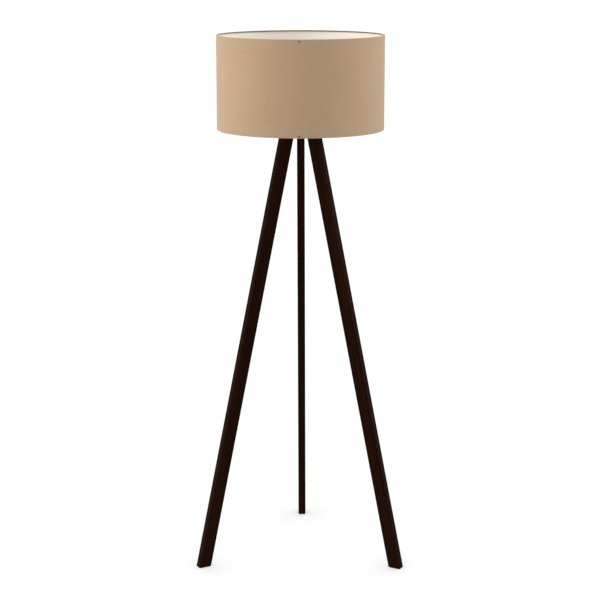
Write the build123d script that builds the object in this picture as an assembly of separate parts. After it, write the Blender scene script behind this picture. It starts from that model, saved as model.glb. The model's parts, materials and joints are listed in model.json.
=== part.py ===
from build123d import *

import os
from math import cos, radians, sin, sqrt, tan

# Tripod floor lamp with a fabric drum shade, in millimetres.
#
# Three flat boards hang from a steel hub bracket, each between two ears on its own pivot bolt. The hub
# carries a lampholder with an LED bulb, and the lampholder's ring nut clamps the shade's spider. Everything
# is modelled about the lamp's vertical axis, with the floor at z = 0, and place() then moves it so that the
# origin is the centre of the footprint's bounding box. A sub-part that belongs to one leg is modelled for a
# leg that points along +X.

# ---- Driving dimensions --------------------------------------------------------------------------
SHADE_R = 250.0  # outer radius of the drum shade
SHADE_BOTTOM = 1320.0
SHADE_HEIGHT = 280.0
SHADE_TOP = SHADE_BOTTOM + SHADE_HEIGHT

LEG_WIDTH = 38.5  # board, measured in the radial plane and square to its length
LEG_THICKNESS = 23.0
LEG_TILT = 12.6  # degrees from the vertical
LEG_EASED = 1.4  # radius of the board's long edges
PIVOT_R = 46.5
PIVOT_Z = SHADE_BOTTOM - 12.0
LEG_AZIMUTHS = {"left": 210.0, "right": 330.0, "rear": 90.0}

TOUCH = 0.1  # gap between faces that would touch, so that no two solids overlap
RUNNING = 0.05  # radial clearance of a turning fit

# ---- Leg and its pad -----------------------------------------------------------------------------
PAD_THICKNESS = 2.5
PAD_INSET = 2.0  # the pad stops this far short of the board's edges
STOP_HEIGHT = 20.0  # from the pivot up to the leg's top, which rests under the hub plate
BOLT_R = 3.0
LEG_UP = Vector(-sin(radians(LEG_TILT)), 0, cos(radians(LEG_TILT)))  # along the board, upwards
LEG_OUT = Vector(cos(radians(LEG_TILT)), 0, sin(radians(LEG_TILT)))  # across the board, outwards
PIVOT = Vector(PIVOT_R, 0, PIVOT_Z)
LEG_SLICE = LEG_WIDTH / cos(radians(LEG_TILT))  # the board's width on a horizontal cut

# ---- Hub bracket ---------------------------------------------------------------------------------
PLATE_THICKNESS = 3.0
STOP_GAP = 0.15  # between the leg's level top and the plate
PLATE_Z = PIVOT_Z + STOP_HEIGHT + STOP_GAP  # underside
PLATE_TOP = PLATE_Z + PLATE_THICKNESS
PLATE_REACH = 64.0
PLATE_LOBE = 36.0  # width of the plate's straight side outside each leg
PLATE_CORNER_R = 7.0
NYLON_THICKNESS = 1.0
NYLON_R = 10.0
EAR_THICKNESS = 2.5
EAR_R = 13.0
EAR_INSIDE = LEG_THICKNESS / 2 + NYLON_THICKNESS + 2 * TOUCH
EAR_OUTSIDE = EAR_INSIDE + EAR_THICKNESS

# ---- Pivot fasteners -----------------------------------------------------------------------------
BOLT_HEAD_R = 7.0
BOLT_HEAD_HEIGHT = 3.6
BOLT_POINT = 31.5  # end of the thread, from the middle of the leg
WASHER_R = 6.5
WASHER_THICKNESS = 1.2
WING_NUT_BASE = EAR_OUTSIDE + WASHER_THICKNESS + 2 * TOUCH
WING_BOSS_R = 5.6
WING_BOSS_TOP_R = 4.6
WING_BOSS_HEIGHT = 7.5
WING_SPAN = 29.0
WING_THICKNESS = 2.2
WING_TIP_R = 4.6
WING_ROOT_X = 2.5  # where a wing starts inside the boss

# ---- Nipple, nut and cord gland ------------------------------------------------------------------
NIPPLE_R = 5.0
NIPPLE_BORE_R = 3.8
NIPPLE_Z = PIVOT_Z + 2.0
NIPPLE_TOP = PLATE_TOP + 7.3
LOCKNUT_FLATS = 14.0
LOCKNUT_HEIGHT = 5.0
LOCK_WASHER_R = 9.0
LOCK_WASHER_THICKNESS = 1.0
GLAND_Z = PIVOT_Z - 13.0
GLAND_TOP = GLAND_Z + 25.0
GLAND_R = 8.0
GLAND_NOSE_R = 6.2
GLAND_NOSE_HEIGHT = 5.0
CORD_BORE_R = 3.5
GRUB_R = 1.5
GRUB_Z = (GLAND_Z + GLAND_NOSE_HEIGHT + NIPPLE_Z) / 2 + 1.0

# ---- Lampholder ----------------------------------------------------------------------------------
HOLDER_R = 19.6  # outside of the skirt's thread
HOLDER_JOINT_Z = PLATE_TOP + 20.0  # where the skirt stands on the cap
HOLDER_TOP = HOLDER_JOINT_Z + 33.0
HOLDER_WALL = 2.2
FLANGE_R = 22.6
FLANGE_HEIGHT = 2.5
CAP_FOOT_R = 14.0
CORE_Z = HOLDER_JOINT_Z - 8.0
CORE_R = 16.6
CORE_TOP = HOLDER_TOP - 2.6
CORE_FLOOR = HOLDER_JOINT_Z + 2.0
CORE_COLLAR_R = 18.2
SHELL_R = 13.35  # inside of the brass screw shell
SHELL_WALL = 0.5
SHELL_Z = CORE_FLOOR + 6.0
TERMINAL_R = 1.9
TERMINAL_X = 9.0

# ---- Shade fittings ------------------------------------------------------------------------------
COVER_THICKNESS = 0.9
LINER_THICKNESS = 0.6
LINER_R = SHADE_R - COVER_THICKNESS - 0.05
WIRE_R = 1.5
RING_R = LINER_R - LINER_THICKNESS - WIRE_R - TOUCH  # centre line of both wire rings
RING_INSET = WIRE_R + 0.7  # from the shade's edge, so that the cover's turned edge covers the wire
BOTTOM_RING_Z = SHADE_BOTTOM + RING_INSET
TOP_RING_Z = SHADE_TOP - RING_INSET
FITTER_Z = HOLDER_JOINT_Z + FLANGE_HEIGHT + TOUCH
FITTER_THICKNESS = 1.6
FITTER_BORE_R = 20.3
FITTER_R = 28.5
SPOKE_BEND_R = 9.0
WELD_GAP = 0.08  # left where a spoke meets the ring it is welded to
RING_NUT_R = 27.0
RING_NUT_Z = FITTER_Z + FITTER_THICKNESS + TOUCH
RING_NUT_HEIGHT = 9.0
RING_NUT_FLUTES = 20
SEAM_OVERLAP = 24.0  # width of the strip where the cover's ends lie on each other
SEAM_THICKNESS = 0.5
RIVET_FROM_EDGE = 6.2
RIVET_SHANK_R = 1.2
RIVET_HEAD_R = 2.6
RIVET_HEAD_HEIGHT = 1.1
RIVET_LIFT = 0.15  # gap under the rivet's flat head on the round cover
SHADE_FRONT = 270.0  # azimuth of the seam, facing -Y

# ---- LED bulb ------------------------------------------------------------------------------------
BULB_TIP_Z = CORE_FLOOR + 3.1
BULB_CAP_Z = BULB_TIP_Z + 3.9
BULB_CAP_R = 13.1
BULB_CAP_TOP = BULB_TIP_Z + 26.0
BULB_SHOULDER_Z = BULB_TIP_Z + 62.0  # where the opal globe meets the body
BULB_TOP = BULB_TIP_Z + 110.0
BULB_R = 30.0
BULB_WALL = 1.6
BOARD_THICKNESS = 1.6  # of both circuit boards
LED_BOARD_R = BULB_R - 3.6
LED_BOARD_TOP = BULB_SHOULDER_Z - 1.0
LED_COUNT = 12
LED_SIDE = 3.0
LED_HEIGHT = 0.8
DRIVER_WIDTH = 16.0

# ---- Placement -----------------------------------------------------------------------------------
FOOT_R = PIVOT_R + (PIVOT_Z - PAD_THICKNESS) * tan(radians(LEG_TILT))
FRONT_REACH = SHADE_R + SEAM_THICKNESS + RIVET_LIFT + RIVET_HEAD_HEIGHT
REAR_REACH = FOOT_R + LEG_SLICE / 2
AXIS_Y = (FRONT_REACH - REAR_REACH) / 2  # the lamp's axis in the exported frame
CUT = 200.0  # a length that goes right through any of the small parts


def place(shape, azimuth=0.0):
    """Turns a sub-part about the lamp's axis to its azimuth and moves it into the exported frame."""
    return Pos(0, AXIS_Y, 0) * Rot(0, 0, azimuth) * shape


def tube(outer_r, inner_r, z_low, z_high):
    """A ring or tube about the lamp's axis."""
    height = z_high - z_low
    ring = Cylinder(outer_r, height) - Cylinder(inner_r, height * 2)
    return Pos(0, 0, (z_low + z_high) / 2) * ring


def disc(radius, z_low, z_high):
    """A solid cylinder about the lamp's axis."""
    return Pos(0, 0, (z_low + z_high) / 2) * Cylinder(radius, z_high - z_low)


def revolved(points):
    """A solid of revolution about the lamp's axis, from its (radius, z) outline."""
    face = make_face(Polyline(*[(r, 0, z) for r, z in points], close=True))
    return revolve(face, Axis.Z, 360)


def along_pivot(radius, y_low, y_high):
    """A cylinder on a leg's pivot line, between two distances from the middle of the leg."""
    bar = Rot(90, 0, 0) * Cylinder(radius, y_high - y_low)
    return Pos(PIVOT_R, (y_low + y_high) / 2, PIVOT_Z) * bar


# ---- Legs ----------------------------------------------------------------------------------------
def leg():
    """A board cut level at the floor. Its top is a level stop outside the pivot and round inside it."""
    half = LEG_WIDTH / 2
    level = PIVOT_Z + STOP_HEIGHT

    def edge_point(side, z):
        start = PIVOT + LEG_OUT * (side * half)
        return start + LEG_UP * ((z - start.Z) / LEG_UP.Z)

    round_end = PIVOT - LEG_OUT * half + LEG_UP * sqrt(STOP_HEIGHT**2 - half**2)
    over_pivot = Vector(PIVOT_R, 0, level)
    to_end = round_end - PIVOT
    to_top = over_pivot - PIVOT
    round_middle = PIVOT + (to_end + to_top).normalized() * STOP_HEIGHT
    outline = [
        Line(edge_point(-1, PAD_THICKNESS), edge_point(1, PAD_THICKNESS)),
        Line(edge_point(1, PAD_THICKNESS), edge_point(1, level)),
        Line(edge_point(1, level), over_pivot),
        ThreePointArc(over_pivot, round_middle, round_end),
        Line(round_end, edge_point(-1, PAD_THICKNESS)),
    ]
    face = make_face(Curve() + outline)
    board = extrude(face, LEG_THICKNESS / 2, dir=(0, 1, 0), both=True)
    long_edges = [e for e in board.edges() if e.length > PIVOT_Z / 2]
    board = fillet(long_edges, LEG_EASED)
    return board - along_pivot(BOLT_R + RUNNING, -LEG_THICKNESS, LEG_THICKNESS)


def foot_pad():
    """A felt pad glued under the board."""
    outline = RectangleRounded(LEG_SLICE - 2 * PAD_INSET, LEG_THICKNESS - 2 * PAD_INSET, 3.0)
    return Pos(FOOT_R, 0, 0) * extrude(outline, PAD_THICKNESS)


# ---- Hub -----------------------------------------------------------------------------------------
def ear(side):
    """One ear of the bracket, with its lower end round about the pivot."""
    height = PLATE_Z - PIVOT_Z
    profile = Circle(EAR_R) + Pos(0, height / 2) * Rectangle(2 * EAR_R, height)
    plate = extrude(Plane.XZ * profile, EAR_THICKNESS / 2, both=True)
    middle = side * (EAR_INSIDE + EAR_THICKNESS / 2)
    return Pos(PIVOT_R, middle, PIVOT_Z) * plate


def hub_bracket():
    """The six-sided top plate with three pairs of ears welded under it."""
    half = PLATE_LOBE / 2
    corners = []
    for azimuth in sorted(LEG_AZIMUTHS.values()):
        for side in (-half, half):
            corners.append(Vector(PLATE_REACH, side).rotate(Axis.Z, azimuth))
    outline = make_face(Polyline(*corners, close=True))
    outline = fillet(outline.vertices(), PLATE_CORNER_R)
    plate = Pos(0, 0, PLATE_Z) * extrude(outline, PLATE_THICKNESS)
    bracket = plate - disc(NIPPLE_R + TOUCH, PLATE_Z - CUT, PLATE_Z + CUT)
    for azimuth in LEG_AZIMUTHS.values():
        for side in (-1, 1):
            bracket += Rot(0, 0, azimuth) * ear(side)
    for azimuth in LEG_AZIMUTHS.values():
        bracket -= Rot(0, 0, azimuth) * along_pivot(BOLT_R + RUNNING, -CUT / 4, CUT / 4)
    return bracket


def nylon_washers():
    """A slip washer on each side of every leg, inside the ears."""
    inner = LEG_THICKNESS / 2 + TOUCH
    washers = []
    for azimuth in LEG_AZIMUTHS.values():
        for low in (inner, -inner - NYLON_THICKNESS):
            high = low + NYLON_THICKNESS
            washer = along_pivot(NYLON_R, low, high) - along_pivot(BOLT_R + RUNNING, low - 1, high + 1)
            washers.append(place(washer, azimuth))
    return Compound(washers)


def steel_washers():
    """One flat washer under each wing nut."""
    low = EAR_OUTSIDE + TOUCH
    high = low + WASHER_THICKNESS
    washer = along_pivot(WASHER_R, low, high) - along_pivot(BOLT_R + RUNNING, low - 1, high + 1)
    return Compound([place(washer, azimuth) for azimuth in LEG_AZIMUTHS.values()])


def pivot_bolt():
    """A dome-headed bolt through both ears and the leg."""
    head = Cylinder(BOLT_HEAD_R, BOLT_HEAD_HEIGHT)
    head = fillet(head.edges().group_by(Axis.Z)[-1], BOLT_HEAD_HEIGHT - 0.6)
    head_middle = -EAR_OUTSIDE - TOUCH - BOLT_HEAD_HEIGHT / 2
    head = Pos(PIVOT_R, head_middle, PIVOT_Z) * Rot(90, 0, 0) * head
    shank = along_pivot(BOLT_R, head_middle, BOLT_POINT)
    shank = chamfer(shank.edges().group_by(Axis.Y)[-1], 0.7)
    return head + shank


def wing_nut():
    """A boss with two rounded wings, modelled on its own axis and then laid on the pivot line."""
    boss = loft([
        Circle(WING_BOSS_R).face(),
        Pos(0, 0, WING_BOSS_HEIGHT) * Circle(WING_BOSS_TOP_R).face(),
    ])
    lift = WING_BOSS_HEIGHT + 2.5
    reach = WING_SPAN / 2 - WING_TIP_R
    wing = Polygon(
        (WING_ROOT_X, 1.2),
        (WING_BOSS_R + 1.5, 1.2),
        (reach + WING_TIP_R * 0.8, lift - 2.6),
        (reach - 3.0, lift + 3.2),
        (WING_ROOT_X, WING_BOSS_HEIGHT),
        align=None,
    )
    wing += Pos(reach, lift) * Circle(WING_TIP_R)
    wings = extrude(Plane.XZ * wing, WING_THICKNESS / 2, both=True)
    wings += mirror(wings, about=Plane.YZ)
    bore = Cylinder(BOLT_R + RUNNING, CUT)
    nut = boss + wings - bore
    return Pos(PIVOT_R, WING_NUT_BASE, PIVOT_Z) * Rot(-90, 0, 0) * nut


def nipple():
    """The hollow threaded tube that joins the gland, the plate and the lampholder."""
    return tube(NIPPLE_R - 0.05, NIPPLE_BORE_R, NIPPLE_Z, NIPPLE_TOP)


def nipple_nut():
    """The hexagon nut that holds the nipple, under the plate and its washer."""
    top = PLATE_Z - LOCK_WASHER_THICKNESS - 2 * TOUCH
    hexagon = RegularPolygon(LOCKNUT_FLATS / 2, 6, major_radius=False)
    nut = Pos(0, 0, top - LOCKNUT_HEIGHT) * extrude(hexagon, LOCKNUT_HEIGHT)
    nut = nut & Pos(0, 0, top - LOCKNUT_HEIGHT / 2) * Sphere(LOCKNUT_FLATS * 0.6)
    return nut - disc(NIPPLE_R, 0, PLATE_Z + CUT)


def nipple_washer():
    """A washer between the nut and the plate."""
    top = PLATE_Z - TOUCH
    return tube(LOCK_WASHER_R, NIPPLE_R + TOUCH, top - LOCK_WASHER_THICKNESS, top)


def cord_gland():
    """The cord grip on the nipple's lower end. Its mouth is the way in for the lamp's cord."""
    body = revolved([
        (CORD_BORE_R, GLAND_Z),
        (GLAND_NOSE_R, GLAND_Z),
        (GLAND_R, GLAND_Z + GLAND_NOSE_HEIGHT),
        (GLAND_R, GLAND_TOP),
        (NIPPLE_R, GLAND_TOP),
        (NIPPLE_R, NIPPLE_Z - TOUCH),
        (CORD_BORE_R, NIPPLE_Z - TOUCH),
    ])
    hole = Rot(0, 90, 0) * Cylinder(GRUB_R + RUNNING, CUT)
    return body - Pos(-CUT / 2 - NIPPLE_BORE_R, 0, GRUB_Z) * hole


def gland_screw():
    """The grub screw in the gland's side. It stops just short of the bore."""
    start = CORD_BORE_R + 0.6
    length = GLAND_R + 1.5 - start
    screw = Rot(0, -90, 0) * Cylinder(GRUB_R, length)
    slot = Box(1.6, 2 * GRUB_R + 1, 0.6)
    return Pos(-(start + length / 2), 0, GRUB_Z) * (screw - Pos(-length / 2, 0, 0) * slot)


# ---- Lampholder ----------------------------------------------------------------------------------
def holder_cap():
    """The lampholder's lower dome, screwed on the nipple. A step inside it traps the core's collar."""
    floor = 5.0
    step_z = HOLDER_JOINT_Z - 2.4
    outer = HOLDER_R + 0.4
    inner = CORE_COLLAR_R - 1.2
    return revolved([
        (NIPPLE_R, PLATE_TOP + TOUCH),
        (CAP_FOOT_R, PLATE_TOP + TOUCH),
        (outer - 1.2, PLATE_TOP + 8.0),
        (outer, PLATE_TOP + 12.0),
        (outer, HOLDER_JOINT_Z - TOUCH),
        (CORE_COLLAR_R + TOUCH, HOLDER_JOINT_Z - TOUCH),
        (CORE_COLLAR_R + TOUCH, step_z),
        (inner, step_z),
        (inner, PLATE_TOP + 11.0),
        (CAP_FOOT_R - HOLDER_WALL, PLATE_TOP + floor),
        (NIPPLE_R, PLATE_TOP + floor),
    ])


def holder_skirt():
    """The upper sleeve: a flange that carries the shade's fitter ring, and a ribbed thread above it."""
    flange_top = HOLDER_JOINT_Z + FLANGE_HEIGHT
    inner = CORE_R + 0.2
    lip = 2.0
    pitch = 2.5
    depth = 0.5
    outline = [
        (inner, HOLDER_JOINT_Z),
        (FLANGE_R, HOLDER_JOINT_Z),
        (FLANGE_R, flange_top),
        (HOLDER_R - depth, flange_top),
    ]
    z = flange_top + pitch / 2
    while z + pitch / 2 < HOLDER_TOP - lip:
        outline += [
            (HOLDER_R - depth, z),
            (HOLDER_R, z + pitch * 0.3),
            (HOLDER_R, z + pitch * 0.5),
            (HOLDER_R - depth, z + pitch * 0.8),
        ]
        z += pitch
    outline += [
        (HOLDER_R - depth, HOLDER_TOP - 0.8),
        (HOLDER_R - depth - 0.8, HOLDER_TOP),
        (CORE_R - 0.8, HOLDER_TOP),
        (CORE_R - 0.8, HOLDER_TOP - lip),
        (inner, HOLDER_TOP - lip),
    ]
    return revolved(outline)


def holder_core():
    """The ceramic cup that carries the screw shell and the contacts."""
    collar_z = HOLDER_JOINT_Z - 2.3
    body = revolved([
        (0, CORE_Z),
        (CORE_R, CORE_Z),
        (CORE_R, collar_z),
        (CORE_COLLAR_R, collar_z),
        (CORE_COLLAR_R, HOLDER_JOINT_Z - TOUCH),
        (CORE_R, HOLDER_JOINT_Z - TOUCH),
        (CORE_R, CORE_TOP),
        (SHELL_R + SHELL_WALL + TOUCH, CORE_TOP),
        (SHELL_R + SHELL_WALL + TOUCH, SHELL_Z - TOUCH),
        (SHELL_R - 0.7, SHELL_Z - TOUCH),
        (SHELL_R - 0.7, CORE_FLOOR),
        (0, CORE_FLOOR),
    ])
    for x in (-TERMINAL_X, TERMINAL_X):
        body -= Pos(x, 0, CORE_Z) * Cylinder(TERMINAL_R * 0.7 + RUNNING, 9.0)
    return body


def screw_shell():
    """The metal thread liner that the bulb's cap screws into."""
    return tube(SHELL_R + SHELL_WALL, SHELL_R, SHELL_Z, CORE_TOP - 0.6)


def centre_contact():
    """The sprung strip under the bulb's tip: a foot on the core's floor and a tongue up to the tip."""
    gauge = 0.5
    half_width = 3.0
    foot_end = -9.0
    tongue_end = 5.5
    foot_z = CORE_FLOOR + TOUCH
    tip_z = BULB_TIP_Z - TOUCH
    side = Polygon(
        (foot_end, foot_z),
        (-2.0, foot_z),
        (2.0, tip_z - gauge),
        (tongue_end, tip_z - gauge),
        (tongue_end, tip_z),
        (1.8, tip_z),
        (-2.2, foot_z + gauge),
        (foot_end, foot_z + gauge),
        align=None,
    )
    return extrude(Plane.XZ * side, half_width, both=True)


def terminal_screws():
    """The two screws that hold the cord's wires under the core."""
    head_height = 2.2
    head = Pos(0, 0, CORE_Z - TOUCH - head_height / 2) * Cylinder(TERMINAL_R, head_height)
    head -= Pos(0, 0, CORE_Z - head_height) * Box(2 * TERMINAL_R + 1, 0.7, 1.4)
    shank = Pos(0, 0, CORE_Z + 1.5) * Cylinder(TERMINAL_R * 0.7, 3.4)
    screw = head + shank
    return Compound([place(Pos(x, 0, 0) * screw) for x in (-TERMINAL_X, TERMINAL_X)])


def shade_ring_nut():
    """The fluted ring that clamps the shade's fitter ring on the lampholder's flange."""
    ring = revolved([
        (HOLDER_R + 0.15, RING_NUT_Z),
        (RING_NUT_R, RING_NUT_Z),
        (RING_NUT_R, RING_NUT_Z + RING_NUT_HEIGHT - 2.0),
        (RING_NUT_R - 2.0, RING_NUT_Z + RING_NUT_HEIGHT),
        (HOLDER_R + 0.15, RING_NUT_Z + RING_NUT_HEIGHT),
    ])
    flute_r = 1.6
    flute = Pos(RING_NUT_R + flute_r * 0.45, 0, RING_NUT_Z) * Cylinder(flute_r, CUT)
    for k in range(RING_NUT_FLUTES):
        ring -= Rot(0, 0, k * 360 / RING_NUT_FLUTES) * flute
    return ring


# ---- Bulb ----------------------------------------------------------------------------------------
def bulb_contact():
    """The bulb's solder tip."""
    return revolved([(0, BULB_TIP_Z), (3.0, BULB_TIP_Z), (4.4, BULB_TIP_Z + 1.3), (0, BULB_TIP_Z + 1.3)])


def bulb_insulator():
    """The black cone between the tip and the cap."""
    low = BULB_TIP_Z + 1.3 + TOUCH
    return revolved([(0, low), (5.2, low), (11.2, BULB_CAP_Z - TOUCH), (0, BULB_CAP_Z - TOUCH)])


def bulb_cap():
    """The bulb's threaded metal cap, closed under the body's collar."""
    wall = 0.6
    return revolved([
        (0, BULB_CAP_Z),
        (11.4, BULB_CAP_Z),
        (BULB_CAP_R, BULB_CAP_Z + 1.8),
        (BULB_CAP_R, BULB_CAP_TOP - TOUCH),
        (BULB_CAP_R - wall, BULB_CAP_TOP - TOUCH),
        (BULB_CAP_R - wall, BULB_CAP_Z + 2.0),
        (0, BULB_CAP_Z + 2.0),
    ])


def bulb_body():
    """The bulb's white flared body, with the driver's space inside."""
    neck_r = 14.2
    rim_r = BULB_R - 1.4
    neck_z = BULB_CAP_TOP + 4.0
    floor_z = BULB_CAP_TOP + BULB_WALL

    def flare(inset):
        middle = (neck_r + 6.5 - inset, 0, neck_z + 15.0)
        rim = (rim_r - inset, 0, BULB_SHOULDER_Z)
        return Spline((neck_r - inset, 0, neck_z), middle, rim, tangents=[(0, 0, 1), (0.12, 0, 1)])

    outer, inner = flare(0.0), flare(BULB_WALL)
    outline = [
        Line((0, 0, BULB_CAP_TOP), (neck_r, 0, BULB_CAP_TOP)),
        Line((neck_r, 0, BULB_CAP_TOP), (neck_r, 0, neck_z)),
        outer,
        Line(outer @ 1, inner @ 1),
        inner,
        Line(inner @ 0, (neck_r - BULB_WALL, 0, floor_z)),
        Line((neck_r - BULB_WALL, 0, floor_z), (0, 0, floor_z)),
        Line((0, 0, floor_z), (0, 0, BULB_CAP_TOP)),
    ]
    return revolve(make_face(Curve() + outline), Axis.Z, 360)


def bulb_globe():
    """The opal diffuser, a little over half a ball, open below."""
    wall = 1.2
    centre_z = BULB_TOP - BULB_R
    low = BULB_SHOULDER_Z + TOUCH
    ball = Pos(0, 0, centre_z) * (Sphere(BULB_R) - Sphere(BULB_R - wall))
    return ball - disc(BULB_R * 2, low - CUT, low)


def led_board():
    """The round board in the body's mouth, with a ring of LED packages on it."""
    board = disc(LED_BOARD_R, LED_BOARD_TOP - BOARD_THICKNESS, LED_BOARD_TOP)
    package = Box(LED_SIDE, LED_SIDE, LED_HEIGHT, align=(Align.CENTER, Align.CENTER, Align.MIN))
    for k in range(LED_COUNT):
        board += Rot(0, 0, k * 360 / LED_COUNT) * Pos(LED_BOARD_R * 0.7, 0, LED_BOARD_TOP) * package
    return board


def led_driver():
    """The upright circuit board between the body's floor and the LED board, with its components."""
    low = BULB_CAP_TOP + BULB_WALL + TOUCH
    high = LED_BOARD_TOP - BOARD_THICKNESS - TOUCH
    face = BOARD_THICKNESS / 2
    sunk = 0.4  # how far the round capacitor is let into the board
    can_r = 4.3
    coil_side = 7.0
    coil_depth = 6.0
    chip_depth = 2.0
    driver = Pos(0, 0, (low + high) / 2) * Box(DRIVER_WIDTH, BOARD_THICKNESS, high - low)
    driver += Pos(-3.5, face + can_r - sunk, high - 8.0) * Cylinder(can_r, 11.0)
    driver += Pos(3.5, face + coil_depth / 2, low + 8.0) * Box(coil_side, coil_depth, coil_side)
    driver += Pos(0, -face - chip_depth / 2, (low + high) / 2) * Box(6.0, chip_depth, 5.0)
    return driver


# ---- Shade ---------------------------------------------------------------------------------------
def rivet_places():
    """Heights of the two rivets that close the seam."""
    return SHADE_BOTTOM + RIVET_FROM_EDGE, SHADE_TOP - RIVET_FROM_EDGE


def rivet_holes():
    """The holes through cover and liner, for a seam that points along +X."""
    drill = Rot(0, 90, 0) * Cylinder(RIVET_SHANK_R + RUNNING, 20.0)
    return [Pos(SHADE_R, 0, z) * drill for z in rivet_places()]


def shade_cover():
    """The fabric tube, with the strip where one end of the sheet lies over the other."""
    cover = tube(SHADE_R, SHADE_R - COVER_THICKNESS, SHADE_BOTTOM, SHADE_TOP)
    strip = tube(SHADE_R + SEAM_THICKNESS, SHADE_R - SEAM_THICKNESS, SHADE_BOTTOM, SHADE_TOP)
    window = Box(20.0, SEAM_OVERLAP, SHADE_HEIGHT)
    strip = strip & Pos(SHADE_R, 0, (SHADE_BOTTOM + SHADE_TOP) / 2) * window
    cover += strip
    for hole in rivet_holes():
        cover -= hole
    return cover


def shade_liner():
    """The cream plastic sheet laminated inside the cover."""
    liner = tube(LINER_R, LINER_R - LINER_THICKNESS, SHADE_BOTTOM, SHADE_TOP)
    for hole in rivet_holes():
        liner -= hole
    return liner


def wire_ring(z):
    """A ring of round wire just inside the liner."""
    return Pos(0, 0, z) * Torus(RING_R, WIRE_R)


def spider_spokes():
    """Three wires welded to the lower ring. Each rises along the liner, then runs level to the fitter."""
    level = FITTER_Z + FITTER_THICKNESS / 2
    foot_r = RING_R - WIRE_R * 1.2
    path = FilletPolyline(
        (foot_r, 0, BOTTOM_RING_Z),
        (foot_r, 0, level),
        (FITTER_R - 0.4, 0, level),
        radius=SPOKE_BEND_R,
    )
    section = Plane(path @ 0, z_dir=path % 0) * Circle(WIRE_R)
    spoke = sweep(section, path=path)
    spoke -= Pos(0, 0, BOTTOM_RING_Z) * Torus(RING_R, WIRE_R + WELD_GAP)
    spoke -= tube(FITTER_R + WELD_GAP, FITTER_BORE_R, FITTER_Z, FITTER_Z + FITTER_THICKNESS)
    return Compound([place(spoke, SHADE_FRONT + k * 120) for k in (0.5, 1.5, 2.5)])


def fitter_ring():
    """The flat washer at the spider's middle, which sits on the lampholder's flange."""
    return tube(FITTER_R, FITTER_BORE_R, FITTER_Z, FITTER_Z + FITTER_THICKNESS)


def seam_rivets():
    """Two dark rivets through the seam: a domed head outside, a shank, and a flat tail inside."""
    tail = 0.8
    outside = SHADE_R + SEAM_THICKNESS + RIVET_LIFT
    inside = LINER_R - LINER_THICKNESS - TOUCH
    dome = Cylinder(RIVET_HEAD_R, RIVET_HEAD_HEIGHT)
    dome = fillet(dome.edges().group_by(Axis.Z)[-1], RIVET_HEAD_HEIGHT * 0.7)
    head = Pos(outside + RIVET_HEAD_HEIGHT / 2, 0, 0) * Rot(0, 90, 0) * dome
    shank = Rot(0, 90, 0) * Cylinder(RIVET_SHANK_R, outside - inside + tail)
    shank = Pos((outside + inside) / 2, 0, 0) * shank
    back = Pos(inside - tail / 2, 0, 0) * Rot(0, 90, 0) * Cylinder(RIVET_HEAD_R * 0.85, tail)
    rivet = head + shank + back
    return Compound([place(Pos(0, 0, z) * rivet, SHADE_FRONT) for z in rivet_places()])


# ---- Export --------------------------------------------------------------------------------------
def parts():
    """Every sub-part by its node's name, in the exported frame."""
    made = {
        "hub_bracket": place(hub_bracket()),
        "nylon_washers": nylon_washers(),
        "steel_washers": steel_washers(),
        "threaded_nipple": place(nipple()),
        "nipple_nut": place(nipple_nut()),
        "nipple_washer": place(nipple_washer()),
        "cord_gland": place(cord_gland()),
        "gland_screw": place(gland_screw()),
        "holder_cap": place(holder_cap()),
        "holder_skirt": place(holder_skirt()),
        "holder_core": place(holder_core()),
        "screw_shell": place(screw_shell()),
        "centre_contact": place(centre_contact()),
        "terminal_screws": terminal_screws(),
        "shade_ring_nut": place(shade_ring_nut()),
        "bulb_contact": place(bulb_contact()),
        "bulb_insulator": place(bulb_insulator()),
        "bulb_cap": place(bulb_cap()),
        "bulb_body": place(bulb_body()),
        "bulb_globe": place(bulb_globe()),
        "led_board": place(led_board()),
        "led_driver": place(led_driver()),
        "shade_cover": place(shade_cover(), SHADE_FRONT),
        "shade_liner": place(shade_liner(), SHADE_FRONT),
        "top_ring": place(wire_ring(TOP_RING_Z)),
        "bottom_ring": place(wire_ring(BOTTOM_RING_Z)),
        "spider_spokes": spider_spokes(),
        "fitter_ring": place(fitter_ring()),
        "seam_rivets": seam_rivets(),
    }
    board, pad, bolt, nut = leg(), foot_pad(), pivot_bolt(), wing_nut()
    for side, azimuth in LEG_AZIMUTHS.items():
        made[f"leg_{side}"] = place(board, azimuth)
        made[f"foot_pad_{side}"] = place(pad, azimuth)
        made[f"pivot_bolt_{side}"] = place(bolt, azimuth)
        made[f"wing_nut_{side}"] = place(nut, azimuth)
    return made


os.makedirs("parts", exist_ok=True)
for node, shape in parts().items():
    export_step(shape, f"parts/{node}.step")
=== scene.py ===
"""The looks of a tripod floor lamp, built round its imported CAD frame. All lengths are in metres."""

import json
from math import copysign, cos, floor, hypot, pi, radians, sin, sqrt, tau

import bpy
from mathutils import Matrix, Vector


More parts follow.
